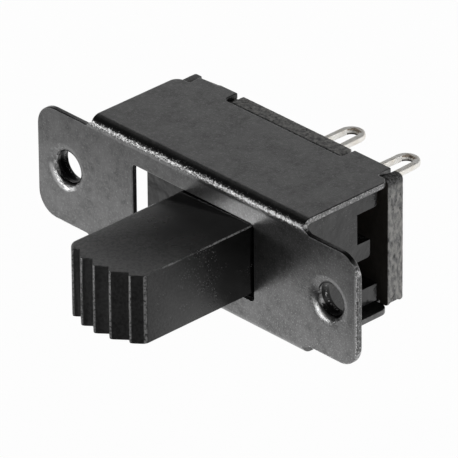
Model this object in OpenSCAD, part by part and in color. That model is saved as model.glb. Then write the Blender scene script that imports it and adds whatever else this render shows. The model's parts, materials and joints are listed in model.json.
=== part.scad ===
// Panel-mount slide switch: a folded sheet frame, a moulded slider with a ribbed knob, a laminate
// terminal board with two solder lugs, and a bronze contact clip that the slider carries. It has one
// pole: the lugs stand in the upper row, and the slider's lower contact slot stays empty.
//
// Origin: the middle of the face plate's front face. X runs along the slide, +Y to the back, +Z up.
// The slider is drawn against the right-hand end of its slot.

/* [Frame] */
// Thickness of the sheet
sheet_t = 0.5; // [0.4:0.05:0.65]
// Length of the top and bottom walls
channel_l = 23.1; // [21:0.1:28]
// Overall height over the two walls
channel_h = 11.4; // [9.5:0.1:14]
// From the plate's front face to the board's front face
channel_d = 9.1; // [7.5:0.1:12]
// Distance of the walls' centre from the plate's centre
channel_shift = 0.1; // [-0.3:0.05:0.3]
// Outside radius of the two bends
bend_r = 0.85; // [0.75:0.05:1.2]
// Radius of the walls' rear corners
wall_corner_r = 0.8; // [0.3:0.1:1.2]
// Length of each ear beyond the walls
ear_l = 5.9; // [5:0.05:8]
// How much lower the ears' edges lie than the walls' outer faces
ear_step = 0.95; // [0.8:0.05:1.5]
// Corner radius of the ears
ear_r = 1.9; // [0.5:0.1:3]
// Length of the short slope that runs from each bend down to an ear's edge
shoulder_l = 0.6; // [0.4:0.1:1.5]
// Height of that slope above the ear's edge
shoulder_h = 0.35; // [0.2:0.05:0.6]

/* [Mounting holes] */
// From an ear's end to the centre of its mounting hole
hole_edge = 3.15; // [2.5:0.05:3.6]
// Bore of the extruded mounting holes
hole_d = 2.7; // [2:0.1:3.3]
// Width of the rolled lip around a mounting hole
hole_lip_w = 0.85; // [0.6:0.05:1]
// Depth at which the lip meets the bore
hole_lip_d = 0.35; // [0.2:0.05:0.6]
// How far the extruded collar stands behind the plate
collar_l = 1; // [0.6:0.1:1.5]
// Wall of the extruded collar
collar_wall = 0.35; // [0.25:0.05:0.5]

/* [Knob] */
// Width of the knob along the slide
knob_w = 7.8; // [6.5:0.1:9.4]
// Height of the knob
knob_h = 5.8; // [5:0.1:7]
// Height of the knob's middle above the plate's centre
knob_rise = 0.3; // [0:0.05:0.3]
// Reach of the knob's middle crest in front of the plate
knob_reach = 12.6; // [6:0.1:16]
// Number of crests across the knob's front
crest_n = 5; // [3:1:5]
// Distance between neighbouring crests
crest_pitch = 1.48; // [1:0.01:1.7]
// Slope of the crests' flanks, in degrees
crest_slope = 41; // [30:1:45]
// Radius of the arc that the crests lie on
crest_arc_r = 6.3; // [4.4:0.1:20]
// Distance of the arc's foremost point from the knob's centre
crest_shift = -0.25; // [-0.3:0.05:0.3]
// Travel of the slider
travel = 5.1; // [4:0.1:6.2]
// Gap between the knob and each end of its slot at the end of the travel
knob_end_gap = 0.15; // [0.1:0.05:0.3]
// Gap above the knob in its slot
knob_side_gap = 0.1; // [0.1:0.05:0.3]
// Corner radius of the slot
slot_r = 0.3; // [0.1:0.05:0.3]
// Distance of the slot's centre from the plate's centre
slot_shift = -0.25; // [-0.5:0.05:0.5]

/* [Carriage] */
// Length of the carriage behind the plate
carriage_l = 16.6; // [14:0.1:17]
// Distance of the carriage's centre from the knob's centre
carriage_shift = 0.15; // [-0.3:0.05:0.3]
// Gap between the carriage and the plate's back face
plate_gap = 0.1; // [0.05:0.01:0.2]
// Gap between the carriage and each wall
wall_gap = 0.4; // [0.1:0.05:0.5]
// Gap between the outer teeth and the board
board_gap = 0.4; // [0.2:0.05:0.6]
// Width of the two contact slots
contact_slot_w = 2.55; // [2.1:0.05:3.1]
// Depth of the two contact slots
contact_slot_d = 2.1; // [1.7:0.05:2.6]
// How far the rib between the slots stops short of the outer teeth
rib_short = 0.75; // [0.1:0.05:0.9]
// Radius of the rounded lower corners of the upper tooth and the rib
tooth_r = 0.35; // [0.1:0.05:0.4]

/* [Terminal board] */
// Thickness of the board
board_t = 1.6; // [1:0.1:2.4]
// How much shorter the board is than the walls
board_short = 0.3; // [0.2:0.1:0.8]
// Height of the board's middle above the plate's centre
board_rise = 0.1; // [0:0.05:0.1]
// Corner radius of the board
board_r = 0.4; // [0.1:0.05:0.4]
// How far a centred board's long edges would lie inside the outer faces of the walls
board_inset = 0.25; // [0.1:0.05:0.4]

/* [Tabs] */
// Width of each tab that holds the board
tab_w = 3.9; // [3:0.1:4.9]
// From a wall's end to its nearest tab
tab_edge = 1.3; // [1.3:0.1:2]
// How far short of the board's back face the tabs end
tab_short = 0.15; // [0:0.05:0.4]
// Radius of the corner between a tab's inner side and the wall
tab_root_r = 0.4; // [0.2:0.05:0.5]
// Gap between that corner and its notch in the board
notch_root_gap = 0.05; // [0.02:0.01:0.1]
// Gap between a tab's outer side and its notch in the board
notch_side_gap = 0.2; // [0.1:0.05:0.3]
// Gap between a tab's inner face and its notch in the board
notch_floor_gap = 0.1; // [0.05:0.01:0.2]

/* [Terminals] */
// Thickness of the terminals
terminal_t = 0.5; // [0.4:0.05:0.6]
// Height of the row of terminals above the middle, and of the slider's contact slots above and below it
row_z = 2.03; // [1.7:0.01:2.4]
// Distance between neighbouring terminals along the slide
terminal_pitch = 5.95; // [5.5:0.05:7]
// Distance of the centre terminal from the plate's centre
terminal_shift = -0.2; // [-0.5:0.05:0]
// Width of a solder lug
lug_w = 2.2; // [2:0.05:2.65]
// Reach of a solder lug behind the board
lug_l = 7.1; // [5.4:0.1:10]
// Width of the eye in a lug
eye_w = 1.2; // [0.8:0.05:1.7]
// Length of the eye in a lug
eye_l = 3.3; // [1.8:0.1:4.4]
// Metal between the eye and the lug's round end
eye_rim = 0.5; // [0.25:0.05:0.6]
// Reach of a terminal's blade in front of the board
blade_l = 1.8; // [1.4:0.1:2]
// How far the blade's shoulders stand out beside the lug
shoulder_w = 0.4; // [0.2:0.05:0.5]
// How far the swaged nibs stand out beside the lug
nib_w = 0.15; // [0.1:0.05:0.3]
// Length of the swaged nibs
nib_l = 0.3; // [0.2:0.05:0.5]
// Gap between a terminal and its slit in the board
slit_gap = 0.03; // [0.01:0.01:0.05]

/* [Contact clip] */
// Thickness of the clip's sheet
clip_t = 0.2; // [0.15:0.01:0.25]
// How far the clip reaches past the two blades that it joins
clip_over = 0.4; // [0.2:0.05:0.6]
// Depth of the pocket in each contact slot's floor, which takes a clip's web
pocket_d = 0.35; // [0.25:0.05:0.5]
// Gap between the clip and the slider
clip_gap = 0.03; // [0.01:0.01:0.05]
// Gap between the clip's leaves and a blade
pinch_gap = 0.02; // [0.01:0.01:0.04]
// From a blade's front edge to where the leaves pinch it
pinch_in = 0.5; // [0.3:0.05:0.6]
// How far the leaves' tips flare out past the pinch
flare = 0.25; // [0.1:0.05:0.3]

/* [Hidden] */
$fn = 64;
over = 1; // reach of a cutter past the face that it cuts

// Frame
plate_l = channel_l + 2 * ear_l;
ear_h = channel_h - 2 * ear_step;
wall_in = channel_h / 2 - sheet_t;
flat_z = channel_h / 2 - bend_r;
hole_x = plate_l / 2 - hole_edge;
slot_l = knob_w + travel + 2 * knob_end_gap;
slot_h = knob_h + 2 * (knob_rise + knob_side_gap);
tab_x = channel_l / 2 - tab_edge - tab_w / 2;
board_back = channel_d + board_t;
tab_end = board_back - tab_short;

// Slider
knob_x = slot_shift + travel / 2;
carriage_x = knob_x + carriage_shift;
carriage_y0 = sheet_t + plate_gap;
carriage_y1 = channel_d - board_gap;
carriage_z = wall_in - wall_gap;
slot_floor = carriage_y1 - contact_slot_d;
rib_half = row_z - contact_slot_w / 2;
tooth_in = row_z + contact_slot_w / 2;

// Terminals and clip
right_x = terminal_shift + terminal_pitch;
blade_w = lug_w + 2 * shoulder_w;
blade_y = channel_d - blade_l;
lug_end = board_back + lug_l;
clip_x = (terminal_shift + right_x) / 2;
clip_l = terminal_pitch + blade_w + 2 * clip_over;

// Extrudes a (y, z) outline along X, centred on x = 0.
module along_x(l) {
    translate([-l / 2, 0, 0]) rotate([90, 0, 90]) linear_extrude(l) children();
}

// Extrudes an (x, z) outline backwards from y = y0.
module along_y(y0, l) {
    translate([0, y0 + l, 0]) rotate([90, 0, 0]) linear_extrude(l) children();
}

// Extrudes an (x, y) outline along Z, centred on z = 0.
module along_z(h) {
    translate([0, 0, -h / 2]) linear_extrude(h) children();
}

// Repeats a shape on the right and, mirrored, on the left.
module both_sides() {
    for (side = [0, 1]) mirror([side, 0, 0]) children();
}

// Rectangle with round corners, centred on the origin.
module round_rect(l, h, r) {
    square([l - 2 * r, h], center = true);
    square([l, h - 2 * r], center = true);
    for (x = [-1, 1], y = [-1, 1]) translate([x * (l / 2 - r), y * (h / 2 - r)]) circle(r);
}

// Slotted hole of overall width w and overall length l, centred on the origin.
module long_hole(w, l) {
    square([w, l - w], center = true);
    for (side = [-1, 1]) translate([0, side * (l - w) / 2]) circle(d = w);
}

// Rectangle from a = 0 to a = d, centred on b = 0, with its two corners at a = 0 rounded.
module nosed_rect(d, h, r) {
    translate([r, -h / 2]) square([d - r, h]);
    translate([0, r - h / 2]) square([d, h - 2 * r]);
    for (side = [-1, 1]) translate([r, side * (h / 2 - r)]) circle(r);
}

// Section through the folded sheet: face plate, two bends and two walls.
module channel_section() {
    difference() {
        nosed_rect(tab_end, channel_h, bend_r);
        translate([sheet_t, 0]) nosed_rect(tab_end, 2 * wall_in, bend_r - sheet_t);
    }
}

// Plan of a wall from above: round rear corners, and two tabs with a round corner at their inner roots.
module wall_plan() {
    translate([0, channel_d]) rotate(-90) nosed_rect(channel_d, channel_l, wall_corner_r);
    both_sides() translate([tab_x - tab_w / 2, 0]) {
        square([tab_w, tab_end]);
        difference() {
            translate([-tab_root_r, 0]) square([tab_root_r, channel_d + tab_root_r]);
            translate([-tab_root_r, channel_d + tab_root_r]) circle(tab_root_r);
        }
    }
}

// Flat outline of the face plate with its ears and the slopes beside the bends.
module plate_outline() {
    round_rect(plate_l, ear_h, ear_r);
    translate([channel_shift, 0]) {
        square([channel_l, 2 * flat_z], center = true);
        both_sides() for (side = [0, 1]) mirror([0, side]) polygon([
            [channel_l / 2 - over, 0],
            [channel_l / 2 + shoulder_l, 0],
            [channel_l / 2 + shoulder_l, ear_h / 2],
            [channel_l / 2, ear_h / 2 + shoulder_h],
            [channel_l / 2 - over, flat_z]
        ]);
    }
}

// Collar drawn out behind the plate around a mounting hole, before it is bored.
module hole_collar() {
    collar_r = hole_d / 2 + collar_wall;
    fillet_r = hole_lip_w - collar_wall;
    rotate([-90, 0, 0]) {
        cylinder(r = collar_r, h = sheet_t + collar_l);
        rotate_extrude() difference() {
            square([collar_r + fillet_r, sheet_t + fillet_r]);
            translate([collar_r + fillet_r, sheet_t + fillet_r]) circle(fillet_r);
        }
    }
}

// Everything that is empty in a mounting hole: its bore and the rolled lip in front.
module hole_cut() {
    lip_r = (hole_lip_w * hole_lip_w + hole_lip_d * hole_lip_d) / (2 * hole_lip_d);
    rotate([-90, 0, 0]) {
        translate([0, 0, -over]) cylinder(d = hole_d, h = sheet_t + collar_l + 2 * over);
        rotate_extrude() difference() {
            square([hole_d / 2 + hole_lip_w, hole_lip_d]);
            translate([hole_d / 2 + hole_lip_w, lip_r]) circle(lip_r);
        }
    }
}

module frame() {
    color("dimgray") difference() {
        union() {
            along_y(0, sheet_t) plate_outline();
            translate([channel_shift, 0, 0]) intersection() {
                along_x(channel_l) channel_section();
                along_z(channel_h + 2 * over) wall_plan();
            }
            both_sides() translate([hole_x, 0, 0]) hole_collar();
        }
        both_sides() translate([hole_x, 0, 0]) hole_cut();
        translate([slot_shift, 0, 0]) along_y(-over, sheet_t + 2 * over) round_rect(slot_l, slot_h, slot_r);
    }
}

// Crest number i of the knob's front, and the valley between crests i and i + 1.
function crest(i) =
    let (x = (i - (crest_n - 1) / 2) * crest_pitch, run = x - crest_shift)
    [x, crest_arc_r - sqrt(crest_arc_r * crest_arc_r - run * run) - knob_reach];
function valley(i) =
    let (a = crest(i), b = crest(i + 1), slope = tan(crest_slope))
    let (x = (a[0] + b[0] + (b[1] - a[1]) / slope) / 2)
    [x, a[1] + slope * (x - a[0])];

// Plan of the knob, seen from above, from its ribbed front to behind the face plate.
module knob_plan() {
    first = crest(0);
    last = crest(crest_n - 1);
    flank = (knob_w / 2 - last[0]) * tan(crest_slope);
    ribs = [for (i = [0:crest_n - 1]) each i < crest_n - 1 ? [crest(i), valley(i)] : [crest(i)]];
    polygon(concat(
        [[-knob_w / 2, carriage_y0 + over], [-knob_w / 2, first[1] + flank]],
        ribs,
        [[knob_w / 2, last[1] + flank], [knob_w / 2, carriage_y0 + over]]
    ));
}

// End outline of the carriage in (y, z): two outer teeth, and a rib with a contact slot on each side.
module carriage_section() {
    difference() {
        translate([carriage_y0, -carriage_z]) square([carriage_y1 - carriage_y0, 2 * carriage_z]);
        for (side = [-1, 1]) translate([slot_floor, side * row_z - contact_slot_w / 2])
            square([contact_slot_d + over, contact_slot_w]);
        translate([carriage_y1 - rib_short, -rib_half - over])
            square([rib_short + over, 2 * (rib_half + over)]);
        lower_corner(carriage_y1, tooth_in);
        lower_corner(carriage_y1 - rib_short, -rib_half);
    }
}

// What is cut away to round a tooth's lower rear corner at (y, z).
module lower_corner(y, z) {
    difference() {
        translate([y - tooth_r, z - over]) square([tooth_r + over, tooth_r + over]);
        translate([y - tooth_r, z + tooth_r]) circle(tooth_r);
    }
}

module slider() {
    color("#2b2b2b") difference() {
        union() {
            translate([knob_x, 0, knob_rise]) along_z(knob_h) knob_plan();
            translate([carriage_x, 0, 0]) along_x(carriage_l) carriage_section();
        }
        for (side = [-1, 1]) translate([clip_x, slot_floor, side * row_z])
            cube([clip_l + 2 * clip_gap, 2 * pocket_d, contact_slot_w], center = true);
    }
}

// Plan of a terminal, seen from above: blade, neck through the board, swaged nibs and eyed lug.
module terminal_plan() {
    difference() {
        union() {
            translate([-blade_w / 2, blade_y]) square([blade_w, blade_l]);
            translate([-lug_w / 2, blade_y]) square([lug_w, lug_end - lug_w / 2 - blade_y]);
            translate([0, lug_end - lug_w / 2]) circle(d = lug_w);
            translate([-lug_w / 2 - nib_w, board_back]) square([lug_w + 2 * nib_w, nib_l]);
        }
        translate([0, lug_end - eye_rim - eye_l / 2]) long_hole(eye_w, eye_l);
    }
}

// One terminal, at place x along the slide.
module terminal(x) {
    color("gainsboro") translate([x, 0, row_z]) along_z(terminal_t) terminal_plan();
}

module terminal_board() {
    root_gap = tab_root_r + notch_root_gap;
    color("gray") difference() {
        translate([channel_shift, 0, board_rise]) along_y(channel_d, board_t)
            round_rect(channel_l - board_short, channel_h - 2 * board_inset, board_r);
        translate([channel_shift, 0, 0]) both_sides() for (side = [0, 1]) mirror([0, 0, side])
            translate([tab_x - tab_w / 2 - root_gap, channel_d - over, wall_in - notch_floor_gap])
                cube([
                    tab_w + root_gap + notch_side_gap,
                    board_t + 2 * over,
                    sheet_t + notch_floor_gap + over
                ]);
        for (x = [terminal_shift, right_x])
            translate([x, channel_d + board_t / 2, row_z])
                cube([lug_w + 2 * slit_gap, board_t + 2 * over, terminal_t + 2 * slit_gap], center = true);
    }
}

// One half of the clip's section in (z, y): web on the pocket's floor, and a leaf that pinches the blade.
module clip_half() {
    web_y = slot_floor - pocket_d + clip_gap;
    leaf_z = contact_slot_w / 2 - clip_gap;
    pinch_z = terminal_t / 2 + pinch_gap;
    pinch_y = blade_y + pinch_in;
    tip_y = carriage_y1 - clip_t;
    bend_y = slot_floor + clip_t;
    polygon([
        [0, web_y],
        [leaf_z, web_y],
        [leaf_z, bend_y],
        [pinch_z + clip_t, pinch_y],
        [pinch_z + clip_t + flare, tip_y],
        [pinch_z + flare, tip_y],
        [pinch_z, pinch_y],
        [leaf_z - clip_t, bend_y],
        [leaf_z - clip_t, web_y + clip_t],
        [0, web_y + clip_t]
    ]);
}

// The contact clip, in the upper contact slot.
module contact_clip() {
    color("peru") translate([clip_x, 0, row_z]) for (side = [0, 1]) mirror([0, 0, side])
        translate([clip_l / 2, 0, 0]) rotate([0, -90, 0]) linear_extrude(clip_l) clip_half();
}

frame();
slider();
terminal_board();
terminal(terminal_shift);  // terminal_centre
terminal(right_x);  // terminal_right
contact_clip();
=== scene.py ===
"""Looks of a panel-mount slide switch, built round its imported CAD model.

Everything is in metres, in the CAD frame: X along the slide, +Y to the back, +Z up, and the origin in
the middle of the face plate's front face. The switch stands on its lower wall.
"""
import json
import math

import bmesh
import bpy
from mathutils import Matrix, Vector, noise


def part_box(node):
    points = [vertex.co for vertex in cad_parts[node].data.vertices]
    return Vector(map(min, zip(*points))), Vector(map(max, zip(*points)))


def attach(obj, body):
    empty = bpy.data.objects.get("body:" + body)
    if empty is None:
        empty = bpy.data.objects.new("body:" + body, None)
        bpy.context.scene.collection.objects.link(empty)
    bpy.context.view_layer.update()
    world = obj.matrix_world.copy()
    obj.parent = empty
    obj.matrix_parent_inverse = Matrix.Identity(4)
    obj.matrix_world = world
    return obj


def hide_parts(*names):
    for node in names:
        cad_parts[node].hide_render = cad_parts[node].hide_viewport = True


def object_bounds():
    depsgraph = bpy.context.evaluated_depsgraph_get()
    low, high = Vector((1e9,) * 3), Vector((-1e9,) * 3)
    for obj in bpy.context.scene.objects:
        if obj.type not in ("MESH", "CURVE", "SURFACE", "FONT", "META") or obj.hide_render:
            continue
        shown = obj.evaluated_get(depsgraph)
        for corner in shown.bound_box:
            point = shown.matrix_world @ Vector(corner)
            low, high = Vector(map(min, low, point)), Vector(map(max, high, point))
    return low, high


MM = 0.001

# Values closer than SAME are one value, and points closer than WELD become one point
SAME = 1e-6
WELD = 1e-7

# Below the first angle two faces are one flat face. An edge above the second is sharp and gets rounded,
# and one that is still above the third is shaded as a crease.
FLAT_ANGLE = math.radians(0.5)
SHARP_ANGLE = math.radians(28)
CREASE_ANGLE = math.radians(40)

# Rounding of the edges
SHEARED_EDGE = 0.10 * MM
MOULDED_EDGE = 0.05 * MM
KNOB_RIGHT_EDGE = 0.09 * MM
KNOB_LEFT_EDGE = 0.36 * MM
CREST_EDGE = 0.25 * MM
CREST_FOOT = 0.30 * MM
BOARD_EDGE = 0.08 * MM
LUG_EDGE = 0.14 * MM
EYE_EDGE = 0.03 * MM
CLIP_EDGE = 0.04 * MM

# Folded sheet: its thickness, and the distance from the middle plane beyond which its walls lie
SHEET = 0.5 * MM
WALL_HEIGHT = 5 * MM

# An ear starts this far outside the walls, and its outline lies beyond the second number, measured from
# the middle plane or from the walls. A tab's end starts this far behind the board's front face.
EAR_GAP = 0.1 * MM
EAR_OUTLINE = 3 * MM
TAB_GAP = 0.05 * MM

# Step sheared into the upper left tab: place, width of its slope, depth, and the stretch that it moves
STEP_X = -8.1 * MM
STEP_SLOPE = 0.08 * MM
STEP_DEPTH = 0.28 * MM
STEP_MOVES = 0.2 * MM

# Sheared edges: bare metal shows above 0, as wear and painted highlight, and painted shade darkens below 0
RUB_SHINE_FULL = 1.0
RUB_SHINE_FAIR = 0.6
RUB_SHINE_FAINT = 0.4
SHADE_SLIGHT = -0.3
SHADE_SOME = -0.4
SHADE_DEEP = -0.8
SHADE_FULL = -1.0

# Cut thread of the mounting holes: pitch, ends, the turn that it starts at, and its ridge's section
THREAD_PITCH = 0.79 * MM
THREAD_START = 0.36 * MM
THREAD_END = 1.48 * MM
THREAD_TURN = 0.60
THREAD_STEPS = 72
THREAD_FADE_STEPS = 14
THREAD_HEIGHT = 0.06 * MM
THREAD_ROOT = 0.004 * MM
THREAD_CREST_HALF = 0.05 * MM

# The knob's upright edges are at least this tall, and its ribs' crests turn by more than this angle
UPRIGHT_HEIGHT = 3 * MM
CREST_ANGLE = math.radians(60)

# Crests with a painted highlight line: in front of the first place, and this far from the knob's left side
CREST_FRONT = -1 * MM
CREST_INSET = 0.1 * MM

# Sawn edges of the board: grid, depth, and the two sizes and shares of their unevenness
SAWN_GRID = 0.16 * MM
SAWN_DEPTH = 0.05 * MM
SAWN_COARSE = 0.45 * MM
SAWN_FINE = 0.17 * MM
SAWN_COARSE_SHARE = 0.6
SAWN_FINE_SHARE = 0.4

# Hollow broken out of the board's lower right-hand corner
CHIP_HALF = 0.6 * MM
CHIP_DEPTH = 0.25 * MM
CHIP_LENGTH = 1.2 * MM
CHIP_HEIGHT = 0.3 * MM

# Far part of a lug's eye: half its width, and its two ends, measured back from the lug's tip
EYE_HALF = 0.62 * MM
EYE_START = 3 * MM
EYE_RIM = 0.46 * MM

# The table is this wide, and lies this far below the object, so that the two faces don't coincide
FLOOR_SIZE = 8.0
FLOOR_GAP = 0.02 * MM

# Table, with painted shade: dark in front of the first place and white behind the second. It also darkens
# to the front right, where y less TABLE_SLANT times x goes from the third to the fourth.
TABLE_DARK_Y = -23 * MM
TABLE_WHITE_Y = -3 * MM
TABLE_RIGHT_DARK = -16.5 * MM
TABLE_RIGHT_WHITE = -10.5 * MM
TABLE_SLANT = 0.6
TABLE_WHITE_SHARE = 0.98

# World: strength of the dim room. Metal and gloss show white behind the object (Y) and near the
# horizon (Z), each from the first number, where it is none, to the second, where it is all.
ROOM_LEVEL = 0.075
WHITE_BEHIND = (-0.10, 0.30)
WHITE_LOW = (0.54, 0.44)

# Lamps: azimuth and elevation in degrees, width, height, and radiance
LAMP_DISTANCE = 1.5
LAMPS = {
    "low_front_strip": (-27, 3.6, 2.4, 0.22, 10.5),
    "top_left_box": (-112, 47, 2.1, 1.5, 0.05),
    "right_box": (98, 18, 1.2, 0.9, 2.4),
}

# Camera, with its angles in degrees and its lens and sensor in millimetres
CAMERA_TARGET = Vector((1.78, 1.86, 0.43)) * MM
CAMERA_AZIMUTH = 46.50
CAMERA_ELEVATION = 29.21
CAMERA_ROLL = -0.50
CAMERA_DISTANCE = 0.601
CAMERA_LENS = 627.7
CAMERA_SENSOR = 36
CAMERA_CLIP = 0.01


# ---------------------------------------------------------------- meshes

def flat_faced(node):
    """The CAD node's mesh as an editable mesh, with each flat face in one piece."""
    bm = bmesh.new()
    bm.from_mesh(node.data)
    bmesh.ops.remove_doubles(bm, verts=bm.verts, dist=WELD)
    bmesh.ops.dissolve_limit(bm, angle_limit=FLAT_ANGLE, verts=bm.verts, edges=bm.edges)
    bm.verts.layers.float.new("wear_and_shade")
    return bm


def sharp_edges(bm, wanted=lambda edge: True):
    """Convex edges that turn by more than SHARP_ANGLE and that wanted accepts."""
    return [
        e for e in bm.edges
        if len(e.link_faces) == 2 and e.is_convex and e.calc_face_angle() > SHARP_ANGLE and wanted(e)
    ]


def round_edges(bm, edges, radius, segments=2):
    """Rounds the edges, and marks the middle of each new strip in the wear_and_shade layer."""
    made = bmesh.ops.bevel(
        bm, geom=edges, offset=radius, offset_type="OFFSET", segments=segments, profile=0.5,
        affect="EDGES", clamp_overlap=False, miter_outer="ARC",
    )
    strip = set(made["faces"])
    wear_and_shade = bm.verts.layers.float["wear_and_shade"]
    for vert in {v for face in strip for v in face.verts}:
        if all(face in strip for face in vert.link_faces):
            vert[wear_and_shade] = 1.0


def cut_faces(bm, faces, place, normal):
    """Cuts the faces along a plane, and returns the faces on both of its sides."""
    around = {e for f in faces for e in f.edges} | {v for f in faces for v in f.verts}
    parts = faces + list(around)
    made = bmesh.ops.bisect_plane(bm, geom=parts, dist=WELD, plane_co=place, plane_no=normal)
    return [g for g in made["geom"] if isinstance(g, bmesh.types.BMFace)]


def piece_from(bm, name, body, material):
    """Makes a smooth piece from the mesh and lets it ride on its CAD body."""
    bmesh.ops.recalc_face_normals(bm, faces=bm.faces)
    mesh = bpy.data.meshes.new(name)
    bm.to_mesh(mesh)
    bm.free()
    mesh.shade_smooth()
    mesh.set_sharp_from_angle(angle=CREASE_ANGLE)
    piece = bpy.data.objects.new(name, mesh)
    bpy.context.scene.collection.objects.link(piece)
    piece.data.materials.append(material)
    modifier = piece.modifiers.new("even_normals", "WEIGHTED_NORMAL")
    modifier.keep_sharp = True
    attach(piece, body)
    return piece


# ---------------------------------------------------------------- material nodes

class Nodes:
    """Short calls that build one node tree."""

    def __init__(self, tree):
        self.tree = tree
        tree.nodes.clear()

    def add(self, kind, inputs=None, **settings):
        """A node with settings, and with its inputs set to numbers or linked to outputs."""
        node = self.tree.nodes.new(kind)
        for key, value in settings.items():
            setattr(node, key, value)
        for key, value in (inputs or {}).items():
            self.put(node.inputs[key], value)
        return node

    def put(self, socket, value):
        """Links the socket to an output, or sets it to a number or a colour."""
        if isinstance(value, bpy.types.NodeSocket):
            self.tree.links.new(value, socket)
        else:
            socket.default_value = value

    def math(self, operation, a, b=0.0):
        """Result of one operation on numbers or outputs."""
        return self.add("ShaderNodeMath", {0: a, 1: b}, operation=operation).outputs[0]

    def fold(self, operation, first, *others):
        """The operation on the first two values, then on that and the third, and so on."""
        for value in others:
            first = self.math(operation, first, value)
        return first

    def times(self, *values):
        """Product of the values."""
        return self.fold("MULTIPLY", *values)

    def plus(self, *values):
        """Sum of the values."""
        return self.fold("ADD", *values)

    def highest(self, *values):
        """Highest of the values."""
        return self.fold("MAXIMUM", *values)

    def distance(self, a, b):
        """Length of a vector that has these two parts."""
        return self.math("SQRT", self.plus(self.times(a, a), self.times(b, b)))

    def step(self, value, low, high, out_low=0.0, out_high=1.0):
        """Smooth change from out_low to out_high as value goes from low to high."""
        node = self.add(
            "ShaderNodeMapRange",
            {"Value": value, "From Min": low, "From Max": high, "To Min": out_low, "To Max": out_high},
            interpolation_type="SMOOTHSTEP",
        )
        return node.outputs["Result"]

    def band(self, value, centre, half):
        """1 at the centre and 0 beyond half on either side of it."""
        away = self.math("ABSOLUTE", self.math("SUBTRACT", value, centre))
        return self.step(away, half, 0.0)

    def near(self, a, centre_a, b, centre_b, reach):
        """1 within half of reach of a line that two coordinates give, and 0 beyond reach."""
        away = self.distance(self.math("SUBTRACT", a, centre_a), self.math("SUBTRACT", b, centre_b))
        return self.step(away, reach, reach * 0.5)

    def mix(self, factor, a, b):
        """Colour between a and b."""
        node = self.add("ShaderNodeMix", data_type="RGBA")
        self.put(node.inputs[0], factor)
        self.put(node.inputs[6], a)
        self.put(node.inputs[7], b)
        return node.outputs[2]

    def place(self, stretch=(1, 1, 1)):
        """Coordinates on the piece itself, in metres, times stretch."""
        where = self.add("ShaderNodeTexCoord").outputs["Object"]
        return self.add("ShaderNodeMapping", {"Vector": where, "Scale": stretch}).outputs[0]

    def axes(self):
        """The three coordinates on the piece itself, in metres."""
        return self.add("ShaderNodeSeparateXYZ", {"Vector": self.place()}).outputs

    def facing(self, axis):
        """How much the face turns to +axis: from -1 to 1."""
        normal = self.add("ShaderNodeTexCoord").outputs["Normal"]
        return self.add("ShaderNodeSeparateXYZ", {"Vector": normal}).outputs[axis]

    def grain(self, size, detail=2.0, stretch=(1, 1, 1), rough=0.5):
        """Soft noise about 0.5 with features of that size."""
        node = self.add(
            "ShaderNodeTexNoise",
            {"Vector": self.place(stretch), "Scale": 1 / size, "Detail": detail, "Roughness": rough},
        )
        return node.outputs["Fac"]

    def specks(self, size, radius):
        """Small separate spots in a lattice of that size: 1 in a spot and 0 beyond its radius."""
        node = self.add("ShaderNodeTexVoronoi", {"Vector": self.place(), "Scale": 1 / size})
        return self.step(node.outputs["Distance"], radius, radius * 0.5)

    def wear_and_shade(self):
        """Wear and painted light: 1 on rounded edges, 0 on open faces, below 0 on painted shade."""
        return self.add("ShaderNodeAttribute", attribute_name="wear_and_shade").outputs["Fac"]

    def surface(self, bump, bump_size, bump_strength, **inputs):
        """Principled surface as the tree's output."""
        settings = {"Height": bump, "Distance": bump_size, "Strength": bump_strength}
        names = {key.replace("_", " "): value for key, value in inputs.items()}
        names["Normal"] = self.add("ShaderNodeBump", settings).outputs[0]
        shader = self.add("ShaderNodeBsdfPrincipled", names)
        self.add("ShaderNodeOutputMaterial", {"Surface": shader.outputs[0]})


def new_material(name):
    """A material and its empty node tree."""
    material = bpy.data.materials.new(name)
    material.use_nodes = True
    return material, Nodes(material.node_tree)


def grey(level):
    """Colour of that level, as linear light."""
    return (level, level, level, 1.0)


# Nearly all values of a noise lie between these
ALL_NOISE = (0.3, 0.7)


# ---------------------------------------------------------------- blackened steel

BLACK = grey(0.0)
COAT_DARK = grey(0.107)
COAT_PALE = grey(0.178)
COAT_BLOOM = grey(0.20)
COAT_SPECK = grey(0.33)
COAT_SPARK = grey(0.42)
BARE_STEEL = grey(0.58)

# Sizes of the coat's patterns, and of the flakes and dents on its edges
CLOUD_SIZE = 0.55 * MM
FINE_SIZE = 0.10 * MM
BLOOM_SIZE = 1.8 * MM
SPECK_SIZE = 0.17 * MM
SPARK_SIZE = 0.13 * MM
FLAKE_SIZE = 0.16 * MM
DENT_SIZE = 0.26 * MM

# Noise levels at which the pattern of that name comes in, and at which it is full
BLOOM_AT = (0.35, 0.65)
SPECK_AT = (0.50, 0.74)
SPARK_AT = (0.58, 0.68)
FLAKE_AT = (0.68, 0.80)
RIM_FLAKE_AT = (0.38, 0.56)

# How much each of these shows
BLOOM_SHARE = 0.60
SPECK_SHARE = 0.8
SPARK_SHARE = 0.6
SHADE_BAND_SHARE = 0.9
SHADE_SHARE = 0.88
UPWARD_SHARE = 0.45

# How much a face looks along +Z as it comes to count as upward, which gets painted shade
UPWARD = (0.5, 0.9)

# The sheet's front side: all of it in front of the second place and none behind the first
FRONT_SIDE = (0.6 * MM, 0.4 * MM)

# Stretches of the top bend: a line where bare metal shows in flakes, as wear and as a painted highlight,
# and above it a band of painted shade. For each: middle, below the top wall's face, and half its height
BEND_LINE_DROP = 0.56 * MM
BEND_LINE_HALF = 0.50 * MM
SHADE_BAND_DROP = 0.22 * MM
SHADE_BAND_HALF = 0.36 * MM

# Line along the right-hand ear's end where bare metal shows, as wear and as painted highlight
RIGHT_RIM_INSET = 0.12 * MM
RIGHT_RIM_HALF = 0.24 * MM

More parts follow.
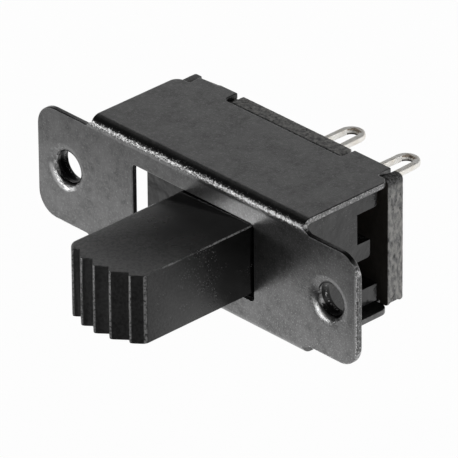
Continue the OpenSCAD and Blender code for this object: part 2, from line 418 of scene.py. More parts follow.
# Places along the slide: sparks come in on the right, and the painted glint on the left hole's rim is soft
SPARKS_COME_IN = (2 * MM, 9 * MM)
SOFT_RIM_GLINT = (1 * MM, -1 * MM)
SOFT_RIM_GLINT_SHARE = 0.85

# Painted glint on a hole's rim: how far outside the bore it lies, half its width, the side it lies on,
# as (x, z), and how well a direction has to agree with that side
RIM_OUTSIDE = 0.40 * MM
RIM_HALF = 0.38 * MM
RIM_SIDE = (-0.64, -0.77)
RIM_SIDE_AT = (0.60, 0.85)
RIM_SHARE = 0.9

# What an edge adds to the flakes' noise, and how deep the clouds and an edge's dents are beside the grain
EDGE_FLAKES = 0.26
CLOUD_RELIEF = 0.8
DENT_RELIEF = 12.0


def painted_rim_glints(n, x, z, hole_x, bore):
    """1 on the side of the holes' rims where a glint is painted."""
    across = n.math("SUBTRACT", x, n.times(n.math("SIGN", x), hole_x))
    radius = n.distance(across, z)
    towards = n.plus(n.times(across, RIM_SIDE[0]), n.times(z, RIM_SIDE[1]))
    side = n.step(n.math("DIVIDE", towards, radius), *RIM_SIDE_AT)
    return n.times(n.band(radius, bore + RIM_OUTSIDE, RIM_HALF), side, RIM_SHARE)


def mottled_coat(n, cloud, x, front):
    """The open coat: mottling in three sizes, and bright sparks in the right half of its front."""
    bloom = n.step(n.grain(BLOOM_SIZE, detail=3), *BLOOM_AT, 0.0, BLOOM_SHARE)
    specks = n.step(n.grain(SPECK_SIZE, detail=4, rough=0.7), *SPECK_AT, 0.0, SPECK_SHARE)
    sparks = n.step(n.grain(SPARK_SIZE, detail=3), *SPARK_AT)
    right_half = n.times(n.step(x, *SPARKS_COME_IN), front)
    coat = n.mix(n.step(cloud, *ALL_NOISE), COAT_DARK, COAT_PALE)
    coat = n.mix(bloom, coat, COAT_BLOOM)
    coat = n.mix(specks, coat, COAT_SPECK)
    return n.mix(n.times(sparks, right_half, SPARK_SHARE), coat, COAT_SPARK)


def darkened(n, coat, shade_band):
    """The coat with painted shade: in the band above the bend, on dark cuts and on faces that look up."""
    dark = n.highest(n.times(n.wear_and_shade(), -1.0), n.times(shade_band, SHADE_BAND_SHARE))
    coat = n.mix(n.times(dark, SHADE_SHARE), coat, BLACK)
    # Painted shade on faces that look up
    upward = n.step(n.facing("Z"), *UPWARD)
    return n.mix(n.times(upward, UPWARD_SHARE), coat, BLACK)


def bare_flakes(n, x, edges, rim):
    """1 in flakes of bare metal: dense on edges, as wear and painted highlight, and the painted glint on the
    rims.
    """
    flakes = n.grain(FLAKE_SIZE, detail=4, rough=0.65)
    on_edges = n.step(n.plus(flakes, n.times(edges, EDGE_FLAKES)), *FLAKE_AT)
    in_rim = n.highest(n.step(flakes, *RIM_FLAKE_AT), n.step(x, *SOFT_RIM_GLINT, 0.0, SOFT_RIM_GLINT_SHARE))
    return n.highest(on_edges, n.times(rim, in_rim))


def blackened_steel(top, right, hole_x, bore):
    """Dark, slightly mottled sheet; where it is rubbed or sheared, bare metal shows in flakes, partly as
    painted highlight. Painted shade darkens a band above the top bend, the cuts and the faces that look up.

    The wear_and_shade layer is above 0 where metal shows and below 0 where shade is painted on the cut.
    """
    material, n = new_material("blackened_steel")
    x, y, z = n.axes()
    front = n.step(y, *FRONT_SIDE)
    # Bend line of bare metal, as wear and painted highlight, and a band of painted shade above it
    bend = n.times(n.band(z, top - BEND_LINE_DROP, BEND_LINE_HALF), front)
    shade_band = n.times(n.band(z, top - SHADE_BAND_DROP, SHADE_BAND_HALF), front)
    # Painted glint on the holes' rims
    rim = n.times(painted_rim_glints(n, x, z, hole_x, bore), front)
    # Bare metal along the right-hand ear's end, as wear and painted highlight
    right_rim = n.times(n.band(x, right - RIGHT_RIM_INSET, RIGHT_RIM_HALF), front)
    edges = n.highest(n.wear_and_shade(), bend, right_rim)
    bare = bare_flakes(n, x, edges, rim)
    cloud = n.grain(CLOUD_SIZE, detail=5, rough=0.65)
    fine = n.grain(FINE_SIZE, detail=3, rough=0.6)
    dents = n.times(n.grain(DENT_SIZE, detail=3), edges, DENT_RELIEF)
    n.surface(
        Base_Color=n.mix(bare, darkened(n, mottled_coat(n, cloud, x, front), shade_band), BARE_STEEL),
        Metallic=n.step(bare, 0, 1, 0.9, 0.5),
        Roughness=n.step(bare, 0, 1, 0.28, 0.32),
        bump=n.plus(fine, n.times(cloud, CLOUD_RELIEF), dents),
        bump_size=0.017 * MM,
        bump_strength=0.7,
    )
    return material


# ---------------------------------------------------------------- threaded steel

# The flanks' near-black colour is painted shade in the bore
SHADED_FLANK_STEEL = grey(0.014)
CUT_STEEL = grey(0.45)
TAPPED_SIZE = 0.12 * MM

# Bare metal shows where the wear and the noise pass these levels
CREST_WORN = (0.75, 0.95)
CREST_AT = (0.52, 0.66)


def threaded_steel():
    """The same sheet where a tap has cut it: flanks painted near black as shade, and bright crests."""
    material, n = new_material("threaded_steel")
    fine = n.grain(TAPPED_SIZE, detail=3, rough=0.6)
    bare = n.times(n.step(n.wear_and_shade(), *CREST_WORN), n.step(fine, *CREST_AT))
    n.surface(
        Base_Color=n.mix(bare, SHADED_FLANK_STEEL, CUT_STEEL),
        Metallic=0.9,
        Roughness=n.step(fine, *ALL_NOISE, 0.28, 0.45),
        bump=fine,
        bump_size=0.012 * MM,
        bump_strength=0.6,
    )
    return material


# ---------------------------------------------------------------- black plastic

SKIN_DARK = grey(0.004)
SKIN_PALE = grey(0.008)
SKIN_PITTED_AND_LIT = grey(0.046)
# Pale specks: wear on the top edge, painted highlight on the crests
SKIN_RUBBED_AND_HIGHLIT = grey(0.30)
DUST = grey(0.16)
DUST_SHARE = 0.7

# Sizes of the skin's patterns, and of its dust's drift
MOTTLE_SIZE = 0.9 * MM
PIT_SIZE = 0.24 * MM
PALE_SPECK_SIZE = 0.16 * MM
SMUDGE_SIZE = 2.6 * MM
SKIN_GRAIN = 0.08 * MM
WAVE_SIZE = 1.4 * MM
DRIFT_SIZE = 1.1 * MM

# Noise levels at which the pattern of that name comes in, and at which it is full
PIT_AT = (0.40, 0.58)
PALE_SPECK_AT = (0.34, 0.58)
DRIFT_AT = (0.52, 0.68)

# How much a face looks along Z: it counts as upright as this goes from 0.5 to 0.2, and as the knob's top
# as it goes from 0.3 to 0.8
UPRIGHT = (0.5, 0.2)
TOPWARD = (0.3, 0.8)

# Reach of the pale specks: painted highlight round a crest, and wear round the knob's right top edge
CREST_HIGHLIGHT = 0.20 * MM
TOP_RUB = 0.13 * MM

# That top edge is rubbed at the root, from the first place to the second, and in a stretch farther out
TOP_RUB_ROOT = (-5.5 * MM, -4.0 * MM)
TOP_RUB_MIDDLE = -8.4 * MM
TOP_RUB_HALF = 1.3 * MM

# Fingers rub the knob in front of the first of these places, and most in front of the second. The pale pits
# show there: fully on the top, and less on the sides. They are partly painted light, which makes the top
# lighter towards the front and lighter than the sides.
HANDLED = (-3.0 * MM, -10.5 * MM)
SIDE_PITS_AND_LIGHT = 0.35
HANDLED_ROUGH = 0.14

# The carriage in the channel comes in from the first of these places to the second
CHANNEL = (0.0 * MM, 0.5 * MM)

# Roughness of the skin: glossy at the knob's root, satin in front of it, and smudged, most in the channel
ROOT_TO_SATIN = (-0.8 * MM, -3.8 * MM)
ROOT_ROUGH = 0.09
SATIN_ROUGH = 0.20
SMUDGE_ROUGH = 0.08
CHANNEL_ROUGH = 0.20

# Relief beside the skin's mottling: the fine grain, the pits towards the front, the waves in the channel
FINE_RELIEF = 0.6
PIT_RELIEF = 2.5
PITS_COME_IN = (-1.5 * MM, -4.5 * MM)
WAVE_RELIEF = 18.0

# Dust on the knob's right-hand face: the middle of its drift and how far it reaches, the heights between
# which it comes in and its loss below them, the distances from the face, and the specks' lattice and radius
DRIFT_MIDDLE = -5.4 * MM
DRIFT_HALF = 3.2 * MM
DRIFT_SHARE = 0.16
DUST_HEIGHT = (-2.0 * MM, 1.5 * MM)
DUST_LOSS = -0.08
DUST_FACE = (-0.3 * MM, -0.1 * MM)
DUST_LATTICE = 0.19 * MM
DUST_RADIUS = 0.34


def rubbed_and_highlit_plastic(n, place, right, top, crests):
    """1 in pale specks: painted highlight along the knob's upright edges, and wear along its right top edge.
    """
    x, y, z = place
    upright = n.step(n.math("ABSOLUTE", n.facing("Z")), *UPRIGHT)
    stretches = n.highest(n.step(y, *TOP_RUB_ROOT), n.band(y, TOP_RUB_MIDDLE, TOP_RUB_HALF))
    pale = n.times(n.near(x, right, z, top, TOP_RUB), stretches)
    for crest_x, crest_y in crests:
        # Painted highlight along each crest
        pale = n.highest(pale, n.times(n.near(x, crest_x, y, crest_y, CREST_HIGHLIGHT), upright))
    return n.times(pale, n.step(n.grain(PALE_SPECK_SIZE, detail=4, rough=0.65), *PALE_SPECK_AT))


def dusty_face(n, place, right):
    """1 in the specks of dust that lie in a drift on the knob's right-hand face."""
    x, y, z = place
    gathered = n.times(n.band(y, DRIFT_MIDDLE, DRIFT_HALF), DRIFT_SHARE)
    drift = n.plus(n.grain(DRIFT_SIZE), gathered, n.step(z, *DUST_HEIGHT, DUST_LOSS, 0.0))
    on_face = n.step(x, right + DUST_FACE[0], right + DUST_FACE[1])
    return n.times(n.specks(DUST_LATTICE, DUST_RADIUS), n.step(drift, *DRIFT_AT), on_face)


def skin_roughness(n, y, handled, in_channel):
    """Roughness of the plastic."""
    smudges = n.step(n.grain(SMUDGE_SIZE, detail=2), *ALL_NOISE)
    smudged = n.times(smudges, n.plus(n.times(in_channel, CHANNEL_ROUGH), SMUDGE_ROUGH))
    satin = n.step(y, *ROOT_TO_SATIN, ROOT_ROUGH, SATIN_ROUGH)
    return n.plus(satin, smudged, n.times(handled, HANDLED_ROUGH))


def skin_relief(n, y, mottle, pits, in_channel):
    """Height of the plastic's grain, pits and waves."""
    fine = n.times(n.grain(SKIN_GRAIN, detail=3), FINE_RELIEF)
    dimples = n.times(pits, n.step(y, *PITS_COME_IN, 0.0, PIT_RELIEF))
    waves = n.times(n.grain(WAVE_SIZE, detail=3), in_channel, WAVE_RELIEF)
    return n.plus(fine, waves, mottle, dimples)


def black_plastic(right, top, crests):
    """Moulded plastic with a satin skin that is rubbed, pitted and dusty where it is handled. Its pale pits
    also paint the top lighter towards the front and than the sides, and pale specks paint highlights on the
    crests.

    It takes the knob's right-hand face (x), its top (z) and its upright crests, as (x, y).
    """
    material, n = new_material("black_plastic")
    place = n.axes()
    y = place["Y"]
    mottle = n.grain(MOTTLE_SIZE, detail=4)
    pits = n.grain(PIT_SIZE, detail=5, rough=0.7)
    in_channel = n.step(y, *CHANNEL)
    handled = n.step(y, *HANDLED)
    share = n.step(n.math("ABSOLUTE", n.facing("Z")), *TOPWARD, SIDE_PITS_AND_LIGHT, 1.0)
    # Pale pits, partly painted light: the top lighter towards the front and than the sides
    pitted_and_lit = n.times(handled, share, n.step(pits, *PIT_AT))
    skin = n.mix(n.step(mottle, *ALL_NOISE), SKIN_DARK, SKIN_PALE)
    skin = n.mix(pitted_and_lit, skin, SKIN_PITTED_AND_LIT)
    skin = n.mix(rubbed_and_highlit_plastic(n, place, right, top, crests), skin, SKIN_RUBBED_AND_HIGHLIT)
    n.surface(
        Base_Color=n.mix(n.times(dusty_face(n, place, right), DUST_SHARE), skin, DUST),
        Roughness=skin_roughness(n, y, handled, in_channel),
        Specular_IOR_Level=0.6,
        bump=skin_relief(n, y, mottle, pits, in_channel),
        bump_size=0.012 * MM,
        bump_strength=0.6,
    )
    return material


# ---------------------------------------------------------------- board laminate

SAWN_DARK = grey(0.24)
SAWN_PALE = (0.56, 0.55, 0.53, 1)
SAWN_FLECK = grey(0.08)
SAWN_CORNER = grey(0.26)
SHADOW_AND_CORNER_DARK = grey(0.012)
SHADOW_AND_CORNER_PALE = grey(0.19)
FACE_DARK = (0.062, 0.056, 0.050, 1)
FACE_PALE = (0.085, 0.078, 0.070, 1)

# Size of the fibres, flecks and dark marks, and how far the first two are drawn out along Z
FIBRE_SIZE = 0.30 * MM
SHADOW_AND_CORNER_SIZE = 0.22 * MM
FIBRE_STRETCH = (1.0, 1.0, 0.5)
FLECK_STRETCH = (1.0, 1.0, 0.55)

# Noise levels between which the fibres turn pale, the flecks end and the dark marks turn pale, and how
# much a face looks along Y where the smooth face takes over
FIBRE_AT = (0.38, 0.62)
FLECK_AT = (0.32, 0.44)
SHADOW_AND_CORNER_AT = (0.42, 0.62)
SMOOTH_FACE = (0.8, 0.95)

# Where each change on the sawn edges starts and ends: the left corner from the board's left side, the
# painted gap shadow from its front face and its top, and the dark corner from its top and its right side
CORNER_INSET = (1.7 * MM, 1.2 * MM)
SHADOW_LINE_INSET = (0.42 * MM, 0.28 * MM)
SHADOW_LINE_DROP = (-0.4 * MM, -0.2 * MM)
DARK_CORNER_DROP = (-0.9 * MM, -0.4 * MM)
DARK_CORNER_INSET = (-1.3 * MM, -0.9 * MM)
DARK_CORNER_SHARE = 0.9


def sawn_laminate(n, low, high, place, fibres):
    """Sawn edges' colour, with a painted gap shadow along the front top edge and a dark top right corner."""
    x, y, z = place
    flecks = n.grain(FIBRE_SIZE, detail=5, stretch=FLECK_STRETCH, rough=0.65)
    corner = n.step(x, low.x + CORNER_INSET[0], low.x + CORNER_INSET[1])
    sawn = n.mix(n.step(fibres, *FIBRE_AT), SAWN_DARK, SAWN_PALE)
    sawn = n.mix(n.step(flecks, *FLECK_AT), SAWN_FLECK, sawn)
    sawn = n.mix(corner, sawn, SAWN_CORNER)
    along_front = n.step(y, low.y + SHADOW_LINE_INSET[0], low.y + SHADOW_LINE_INSET[1])
    on_top = n.step(z, high.z + SHADOW_LINE_DROP[0], high.z + SHADOW_LINE_DROP[1])
    upper = n.step(z, high.z + DARK_CORNER_DROP[0], high.z + DARK_CORNER_DROP[1])
    outer = n.step(x, high.x + DARK_CORNER_INSET[0], high.x + DARK_CORNER_INSET[1])
    # Painted gap shadow along the front top edge
    gap_shadow = n.times(along_front, on_top, n.math("SUBTRACT", 1.0, corner))
    shadow_and_corner = n.highest(gap_shadow, n.times(upper, outer, DARK_CORNER_SHARE))
    rough = n.step(n.grain(SHADOW_AND_CORNER_SIZE, detail=4, rough=0.7), *SHADOW_AND_CORNER_AT)
    return n.mix(shadow_and_corner, sawn, n.mix(rough, SHADOW_AND_CORNER_DARK, SHADOW_AND_CORNER_PALE))


def laminate(low, high):
    """Paper laminate: a smooth dark face, and sawn edges with pale fibres and dark flecks."""
    material, n = new_material("board_laminate")
    fibres = n.grain(FIBRE_SIZE, detail=5, stretch=FIBRE_STRETCH, rough=0.7)
    sawn = sawn_laminate(n, low, high, n.axes(), fibres)
    face = n.mix(n.step(fibres, *ALL_NOISE), FACE_DARK, FACE_PALE)
    on_face = n.step(n.math("ABSOLUTE", n.facing("Y")), *SMOOTH_FACE)
    n.surface(
        Base_Color=n.mix(on_face, sawn, face),
        Roughness=n.step(on_face, 0, 1, 0.75, 0.42),
        Specular_IOR_Level=0.3,
        bump=fibres,
        bump_size=0.03 * MM,
        bump_strength=0.5,
    )
    return material


# ---------------------------------------------------------------- contact metals

PLATING_BRIGHT = (0.97, 0.955, 0.92, 1)
PLATING_CREAM = (0.90, 0.86, 0.79, 1)
BRASS_DARK = (0.42, 0.33, 0.25, 1)
BRASS_PALE = (0.74, 0.64, 0.54, 1)
EYE_SHADOW = (0.05, 0.038, 0.030, 1)
BRONZE_DARK = (0.66, 0.40, 0.20, 1)
BRONZE_PALE = (0.76, 0.52, 0.30, 1)

# Sizes of the plating's patterns and of the bronze's, and how far its brush marks are drawn out along X
PLATING_CLOUD = 0.8 * MM
PLATING_GRAIN = 0.12 * MM
BRONZE_CLOUD = 0.7 * MM
BRUSH_SIZE = 0.10 * MM
BRUSH_STRETCH = (0.15, 1, 1)

# Noise levels between which the plating turns to cream, and the torn brass from dark to pale
CREAM_AT = (0.35, 0.7)
TORN_AT = (0.35, 0.65)

# Levels of the wear_and_shade layer between which bare brass comes in, and below 0 the painted shadow
WORN = (0.3, 0.7)
SHADOWED = (-0.2, -0.7)


def silvered_brass():
    """Bright plating that has gone slightly cream, with brown brass showing in the punched eye.

    The wear_and_shade layer is above 0 on the eye's bare brass and below 0 on the painted shadow under it.
    """
    material, n = new_material("silvered_brass")
    cloud = n.grain(PLATING_CLOUD, detail=4)
    fine = n.grain(PLATING_GRAIN, detail=3)
    plate = n.mix(n.step(cloud, *CREAM_AT), PLATING_BRIGHT, PLATING_CREAM)
    torn = n.mix(n.step(fine, *TORN_AT), BRASS_DARK, BRASS_PALE)
    colour = n.mix(n.step(n.wear_and_shade(), *WORN), plate, torn)
    n.surface(
        Base_Color=n.mix(n.step(n.wear_and_shade(), *SHADOWED), colour, EYE_SHADOW),
        Metallic=n.step(n.wear_and_shade(), *WORN, 0.80, 0.2),
        Roughness=n.step(cloud, *ALL_NOISE, 0.54, 0.68),
        bump=fine,
        bump_size=0.006 * MM,
        bump_strength=0.4,
    )
    return material


def spring_bronze():
    """Bronze strip, brushed along the slide."""
    material, n = new_material("spring_bronze")
    cloud = n.grain(BRONZE_CLOUD, detail=4)
    brushed = n.grain(BRUSH_SIZE, detail=3, stretch=BRUSH_STRETCH)
    n.surface(
        Base_Color=n.mix(n.step(cloud, *ALL_NOISE), BRONZE_DARK, BRONZE_PALE),
        Metallic=1.0,
        Roughness=n.step(brushed, *ALL_NOISE, 0.26, 0.40),
        bump=brushed,
        bump_size=0.006 * MM,
        bump_strength=0.4,
    )
    return material


# ---------------------------------------------------------------- steel frame and threads

def step_left_tab(bm):
    """Shortens the outer half of the upper left tab, as the shear left it."""
    end = max(v.co.y for v in bm.verts)
    tab = [
        f for f in bm.faces
        if f.calc_center_median().z > 0 and any(v.co.y > end - SHEET for v in f.verts)
    ]
    for x in (STEP_X, STEP_X - STEP_SLOPE):
        tab = cut_faces(bm, [f for f in tab if f.is_valid], (x, 0, 0), (1, 0, 0))
    for v in bm.verts:
        outer = v.co.x < STEP_X - STEP_SLOPE + SAME
        if outer and v.co.z > 0 and v.co.y > end - STEP_MOVES:
            v.co.y -= STEP_DEPTH


def ear_wear_and_light(normal):
    """Wear and painted light of an ear's outline: bright on its right-hand end, painted shade elsewhere."""
    if normal.y < -0.95 or normal.y > 0.2:
        return 0.0
    # Rims that face right and front: bare metal, as wear and painted highlight; the rest of the cut: painted
    # shade
    if normal.x > 0.6:
        return RUB_SHINE_FULL if normal.y < -0.2 else SHADE_SOME
    return RUB_SHINE_FAINT if normal.y < -0.75 else SHADE_FULL


def wall_wear_and_light(vert, board_front):
    """Wear and painted light of a wall's sheared right-hand end: most on the upper wall's upper rim."""
    on_tab = vert.co.y > board_front + TAB_GAP
    # Painted shade on the tabs' ends
    if on_tab and any(face.normal.x > 0.3 for face in vert.link_faces):
        return SHADE_DEEP
    if not any(face.normal.x > 0.95 for face in vert.link_faces):
        return 0.0
    # Painted shade on the lower wall's end; bare metal, as wear and painted highlight, on the upper wall's
    # end
    if vert.co.z < 0:
        return SHADE_SLIGHT
    return RUB_SHINE_FULL if vert.normal.z > 0.2 else RUB_SHINE_FAIR


def mark_sheared_edges(bm, board_front):
    """Wear and painted light of the folded sheet: the ears' outlines, and the walls' right-hand ends."""
    wear_and_shade = bm.verts.layers.float["wear_and_shade"]
    wall_end = max(v.co.x for v in bm.verts if v.co.y > 2 * SHEET and abs(v.co.z) > WALL_HEIGHT)
    for v in bm.verts:
        on_ear = v.co.y < SHEET + SAME and abs(v.co.x) > wall_end + EAR_GAP
        if on_ear and max(abs(v.co.z), abs(v.co.x) - wall_end) > EAR_OUTLINE:
            v[wear_and_shade] = ear_wear_and_light(v.normal)
        else:
            v[wear_and_shade] = wall_wear_and_light(v, board_front)


def steel_frame(nodes, material):
    """The folded frame with its sheared edges broken."""
    bm = flat_faced(nodes["frame"])
    step_left_tab(bm)
    round_edges(bm, sharp_edges(bm), SHEARED_EDGE, segments=3)
    bm.normal_update()
    mark_sheared_edges(bm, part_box("terminal_board")[0].y)
    piece = piece_from(bm, "steel_frame", "housing", material)
    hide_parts("frame")


def hole_places(record):
    """Centre and bore radius of each mounting hole, the left one first."""
    dims = next(m for m in record["mounts"] if m["name"] == "mounting_holes")["dims"]
    half = dims["spacing_x_mm"] * MM / 2
    return [(side * half, dims["hole_r_mm"] * MM) for side in (-1, 1)]


def thread_ring(bm, x, bore, step, fade):
    """The ridge's four points at one step along the helix; the two on its crest are worn."""
    wear_and_shade = bm.verts.layers.float["wear_and_shade"]
    angle = 2 * math.pi * (step / THREAD_STEPS + THREAD_TURN)
    y = THREAD_START + THREAD_PITCH * step / THREAD_STEPS
    foot = (THREAD_ROOT, THREAD_PITCH * 0.5, 0.0)
    crest = (THREAD_HEIGHT, THREAD_CREST_HALF, 1.0)
    ring = []
    for side, (depth, half, worn) in ((-1, foot), (-1, crest), (1, crest), (1, foot)):
        radius = bore - depth * fade
        place = min(max(y + side * half, THREAD_START), THREAD_END)
        ring.append(bm.verts.new((x + radius * math.cos(angle), place, radius * math.sin(angle))))
        ring[-1][wear_and_shade] = worn
    return ring


def thread(name, x, bore, material):
    """Helical ridge of a cut thread inside the mounting hole at x; it fades out at both ends."""
    bm = bmesh.new()
    bm.verts.layers.float.new("wear_and_shade")
    count = round((THREAD_END - THREAD_START) / THREAD_PITCH * THREAD_STEPS)
    rings = []
    for step in range(count + 1):
        fade = min(1, (step + 1) / THREAD_FADE_STEPS, (count - step + 1) / THREAD_FADE_STEPS)
        rings.append(thread_ring(bm, x, bore, step, fade))
    for a, b in zip(rings, rings[1:]):
        for k in range(3):
            bm.faces.new((a[k], a[k + 1], b[k + 1], b[k]))
    piece_from(bm, name, "housing", material)


# ---------------------------------------------------------------- slider

def lies_at(edge, **place):
    """True if the edge runs along the given values of x, y or z."""
    return all(
        abs(getattr(v.co, axis) - value) < SAME
        for v in edge.verts
        for axis, value in place.items()
    )


def is_upright(edge):
    """True for a tall edge in front of the plate."""
    a, b = (v.co for v in edge.verts)
    return abs(a.z - b.z) > UPRIGHT_HEIGHT and a.y < 0 and b.y < 0


def knob_box(bm):
    """Lowest and highest corner of the knob, which is the slider's part in front of the plate."""
    places = [v.co for v in bm.verts if v.co.y < 0]
    low = Vector([min(place[axis] for place in places) for axis in range(3)])
    high = Vector([max(place[axis] for place in places) for axis in range(3)])
    return low, high


def knob_edges(nodes):
    """The knob's right-hand face (x), its top (z), and the (x, y) of its upright crests and right corner."""
    bm = flat_faced(nodes["slider"])
    low, high = knob_box(bm)
    places = [edge.verts[0].co for edge in sharp_edges(bm, is_upright)]
    crests = {
        (round(place.x, 6), round(place.y, 6))
        for place in places
        if place.y < CREST_FRONT and place.x > low.x + CREST_INSET
    }
    bm.free()
    return high.x, high.z, sorted(crests)


def round_crest_feet(bm, low):
    """Rounds the lower ends of the ribs' crests, and returns the x of the crest farthest to the left."""
    crests = sharp_edges(bm, lambda e: is_upright(e) and e.calc_face_angle() > CREST_ANGLE)
    feet = [v for edge in crests for v in edge.verts if abs(v.co.z - low.z) < SAME]
    first_crest = min(v.co.x for v in feet)
    bmesh.ops.bevel(
        bm, geom=feet, offset=CREST_FOOT, offset_type="OFFSET", segments=3, profile=0.5,
        affect="VERTICES", clamp_overlap=False,
    )
    return first_crest


def slider(nodes, material):
    """Ribbed knob and carriage in one moulding."""
    bm = flat_faced(nodes["slider"])
    low, high = knob_box(bm)
    shoulder = min(v.co.y for v in bm.verts if v.co.y < 0 and abs(v.co.x - low.x) < SAME)
    first_crest = round_crest_feet(bm, low)

    def is_left_edge(edge):
        along_top = lies_at(edge, x=low.x, z=high.z)
        upright = lies_at(edge, x=low.x, y=shoulder)
        before_crest = all(v.co.y < shoulder + SAME and v.co.x < first_crest + SAME for v in edge.verts)
        return along_top or upright or (lies_at(edge, z=high.z) and before_crest)

    round_edges(bm, sharp_edges(bm, is_left_edge), KNOB_LEFT_EDGE, segments=5)
    round_edges(bm, sharp_edges(bm, is_upright), CREST_EDGE, segments=3)
    round_edges(bm, sharp_edges(bm, lambda e: lies_at(e, x=high.x, z=high.z)), KNOB_RIGHT_EDGE)
    round_edges(bm, sharp_edges(bm), MOULDED_EDGE)
    piece = piece_from(bm, "slider_moulding", "slider", material)
    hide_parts("slider")


# ---------------------------------------------------------------- board, lugs and clip

def is_sawn(face):
    """True for the board's edge faces, which don't look along Y."""
    return abs(face.normal.y) < 0.9


def roughen_sawn_edges(bm):
    """Cuts the board's edge faces into a fine grid and sinks its points by a smooth noise."""
    corners = [v.co.copy() for v in bm.verts]
    for axis in range(3):
        low, high = min(c[axis] for c in corners), max(c[axis] for c in corners)
        normal = [float(i == axis) for i in range(3)]
        for k in range(1, int((high - low) / SAWN_GRID)):
            place = [0.0, 0.0, 0.0]
            place[axis] = low + k * SAWN_GRID
            cut_faces(bm, [f for f in bm.faces if is_sawn(f)], place, normal)
    bm.normal_update()
    for v in bm.verts:
        out = sum((f.normal for f in v.link_faces if is_sawn(f)), Vector())
        out.y = 0
        if out.length > 0.1:
            coarse = SAWN_COARSE_SHARE * noise.noise(v.co / SAWN_COARSE)
            fine = SAWN_FINE_SHARE * noise.noise(v.co / SAWN_FINE)
            v.co -= out.normalized() * SAWN_DEPTH * (0.5 + 0.5 * (coarse + fine))


def chip_corner(bm, low, high):
    """Breaks a shallow hollow out of the lower right-hand corner."""
    middle = (low.y + high.y) / 2
    for v in bm.verts:
        near = v.co.x > high.x - CHIP_LENGTH and v.co.z < low.z + CHIP_HEIGHT
        across = (v.co.y - middle) / CHIP_HALF
        if near and abs(across) < 1:
            v.co.z += CHIP_DEPTH * (1 - across * across)


def board(nodes, material):
    """The terminal board with its sawn edges and its broken corner."""
    bm = flat_faced(nodes["terminal_board"])
    round_edges(bm, sharp_edges(bm), BOARD_EDGE)
    roughen_sawn_edges(bm)
    chip_corner(bm, *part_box("terminal_board"))
    piece = piece_from(bm, "laminate_board", "housing", material)
    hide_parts("terminal_board")


def terminal(nodes, name, material):
    """Solder lug; its wear_and_shade layer marks bare brass at the eye's far end, and a painted shadow below
    it.
    """
    bm = flat_faced(nodes[name])
    low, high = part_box(name)
    middle = (low.x + high.x) / 2

    def is_eye(v):
        return abs(v.co.x - middle) < EYE_HALF and high.y - EYE_START < v.co.y < high.y - EYE_RIM

    round_edges(bm, sharp_edges(bm, lambda e: not all(is_eye(v) for v in e.verts)), LUG_EDGE, segments=4)
    round_edges(bm, sharp_edges(bm), EYE_EDGE)
    bm.normal_update()
    wear_and_shade = bm.verts.layers.float["wear_and_shade"]
    for v in bm.verts:
        v[wear_and_shade] = 0.0
        # Eye's far end: bare brass above, and a painted shadow line along its lower edge
        if is_eye(v) and any(f.normal.y < -0.3 for f in v.link_faces):
            v[wear_and_shade] = 1.0 if v.co.z > low.z + EYE_EDGE * 2 else -1.0
    piece = piece_from(bm, name + "_lug", "housing", material)
    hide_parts(name)


def clip(nodes, name, material):
    """The spring clip with its edges broken."""
    bm = flat_faced(nodes[name])
    round_edges(bm, sharp_edges(bm), CLIP_EDGE)
    piece = piece_from(bm, name + "_spring", "slider", material)
    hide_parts(name)


# ---------------------------------------------------------------- studio

def direction(azimuth, elevation):
    """Unit vector towards a place round the object, in degrees: 0 is in front (-Y), 90 at the right (+X)."""
    a, e = math.radians(azimuth), math.radians(elevation)
    return Vector((math.sin(a) * math.cos(e), -math.cos(a) * math.cos(e), math.sin(e)))


def softbox(name, azimuth, elevation, width, height, radiance):
    """Lamp that looks at the origin; its radiance stays the same when its size changes."""
    light = bpy.data.lights.new(name, "AREA")
    light.shape = "RECTANGLE"
    light.size, light.size_y = width, height
    light.energy = radiance * math.pi * width * height
    lamp = bpy.data.objects.new(name, light)
    towards = direction(azimuth, elevation)
    lamp.location = towards * LAMP_DISTANCE
    lamp.rotation_mode = "QUATERNION"
    lamp.rotation_quaternion = towards.to_track_quat("Z", "Y")
    lamp.visible_camera = False
    bpy.context.scene.collection.objects.link(lamp)


def background_share(n, glossy_level):
    """1 for rays that see the white background; glossy_level of it shows in metal and gloss."""
    path = n.add("ShaderNodeLightPath").outputs
    return n.highest(
        path["Is Camera Ray"],
        path["Is Transmission Ray"],
        n.times(path["Is Glossy Ray"], glossy_level),
    )


def studio_world():
    """White behind and beside the object near the horizon, and a dim room elsewhere."""
    world = bpy.data.worlds.new("studio")
    bpy.context.scene.world = world
    world.use_nodes = True
    n = Nodes(world.node_tree)
    ray = n.add("ShaderNodeTexCoord").outputs["Generated"]
    axes = n.add("ShaderNodeSeparateXYZ", {"Vector": ray}).outputs
    share = background_share(n, n.times(n.step(axes["Y"], *WHITE_BEHIND), n.step(axes["Z"], *WHITE_LOW)))
    room = n.add("ShaderNodeBackground", {"Color": grey(1.0), "Strength": ROOM_LEVEL})
    white = n.add("ShaderNodeBackground", {"Color": grey(1.0), "Strength": 1.0})
    both = n.add("ShaderNodeMixShader", {0: share, 1: room.outputs[0], 2: white.outputs[0]})
    n.add("ShaderNodeOutputWorld", {"Surface": both.outputs[0]})


TABLE_DARK = grey(0.35)
TABLE_PALE = grey(0.75)


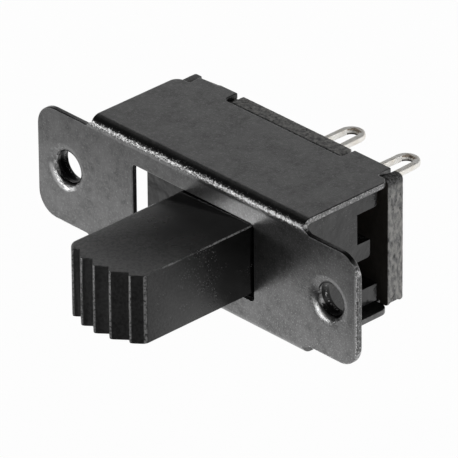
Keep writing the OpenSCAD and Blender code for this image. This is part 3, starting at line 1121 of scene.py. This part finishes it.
def floor(height):
    """Wide white table, with painted shade darkening it towards the front; it keeps the object's shadow."""
    bpy.ops.mesh.primitive_plane_add(size=FLOOR_SIZE, location=(0, 0, height))
    plane = bpy.context.object
    plane.name = "floor"
    material, n = new_material("floor_white")
    place = n.axes()
    slanted = n.math("SUBTRACT", place["Y"], n.times(place["X"], TABLE_SLANT))
    right = n.step(slanted, TABLE_RIGHT_DARK, TABLE_RIGHT_WHITE)
    # Painted shade: darker towards the front and the front right
    lit = n.times(n.step(place["Y"], TABLE_DARK_Y, TABLE_WHITE_Y), right)
    paper = n.add("ShaderNodeBsdfDiffuse", {"Color": n.mix(lit, TABLE_DARK, TABLE_PALE)})
    white = n.add("ShaderNodeEmission", {"Color": grey(1.0), "Strength": 1.0})
    share = n.times(background_share(n, lit), TABLE_WHITE_SHARE)
    both = n.add("ShaderNodeMixShader", {0: share, 1: paper.outputs[0], 2: white.outputs[0]})
    n.add("ShaderNodeOutputMaterial", {"Surface": both.outputs[0]})
    plane.data.materials.append(material)


def camera():
    """Camera that looks at CAMERA_TARGET and is turned by CAMERA_ROLL about its view."""
    towards = direction(CAMERA_AZIMUTH, CAMERA_ELEVATION)
    azimuth, roll = math.radians(CAMERA_AZIMUTH), math.radians(CAMERA_ROLL)
    right = Vector((math.cos(azimuth), math.sin(azimuth), 0))
    up = towards.cross(right)
    turned_right = right * math.cos(roll) + up * math.sin(roll)
    turned_up = up * math.cos(roll) - right * math.sin(roll)
    data = bpy.data.cameras.new("camera")
    data.lens = CAMERA_LENS
    data.sensor_width = CAMERA_SENSOR
    data.clip_start = CAMERA_CLIP
    holder = bpy.data.objects.new("camera", data)
    place = Matrix((turned_right, turned_up, towards)).transposed().to_4x4()
    place.translation = CAMERA_TARGET + towards * CAMERA_DISTANCE
    holder.matrix_world = place
    bpy.context.scene.collection.objects.link(holder)
    bpy.context.scene.camera = holder


# ---------------------------------------------------------------- scene

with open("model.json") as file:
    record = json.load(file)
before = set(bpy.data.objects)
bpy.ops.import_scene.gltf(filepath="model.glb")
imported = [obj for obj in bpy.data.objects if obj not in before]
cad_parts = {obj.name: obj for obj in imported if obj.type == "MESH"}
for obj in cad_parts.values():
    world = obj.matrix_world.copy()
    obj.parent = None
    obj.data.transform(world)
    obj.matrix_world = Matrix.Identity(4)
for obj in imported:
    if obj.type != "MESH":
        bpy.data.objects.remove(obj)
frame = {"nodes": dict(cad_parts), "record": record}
cad_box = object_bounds()
cad = frame["nodes"]
camera()

holes = hole_places(frame["record"])
right_hole, hole_bore = holes[1]
steel_frame(cad, blackened_steel(cad_box[1].z, cad_box[1].x, right_hole, hole_bore))
cut_steel = threaded_steel()
for side, (hole_x, bore_radius) in zip(("left", "right"), holes):
    thread("thread_" + side, hole_x, bore_radius, cut_steel)
slider(cad, black_plastic(*knob_edges(cad)))
board(cad, laminate(*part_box("terminal_board")))
silver = silvered_brass()
bronze = spring_bronze()
for node_name in sorted(cad):
    if node_name.startswith("terminal_") and node_name != "terminal_board":
        terminal(cad, node_name, silver)
    if node_name.startswith("contact_clip"):
        clip(cad, node_name, bronze)

studio_world()
floor(cad_box[0].z - FLOOR_GAP)
for lamp_name, settings in LAMPS.items():
    softbox(lamp_name, *settings)
bpy.context.scene.view_settings.view_transform = "Standard"
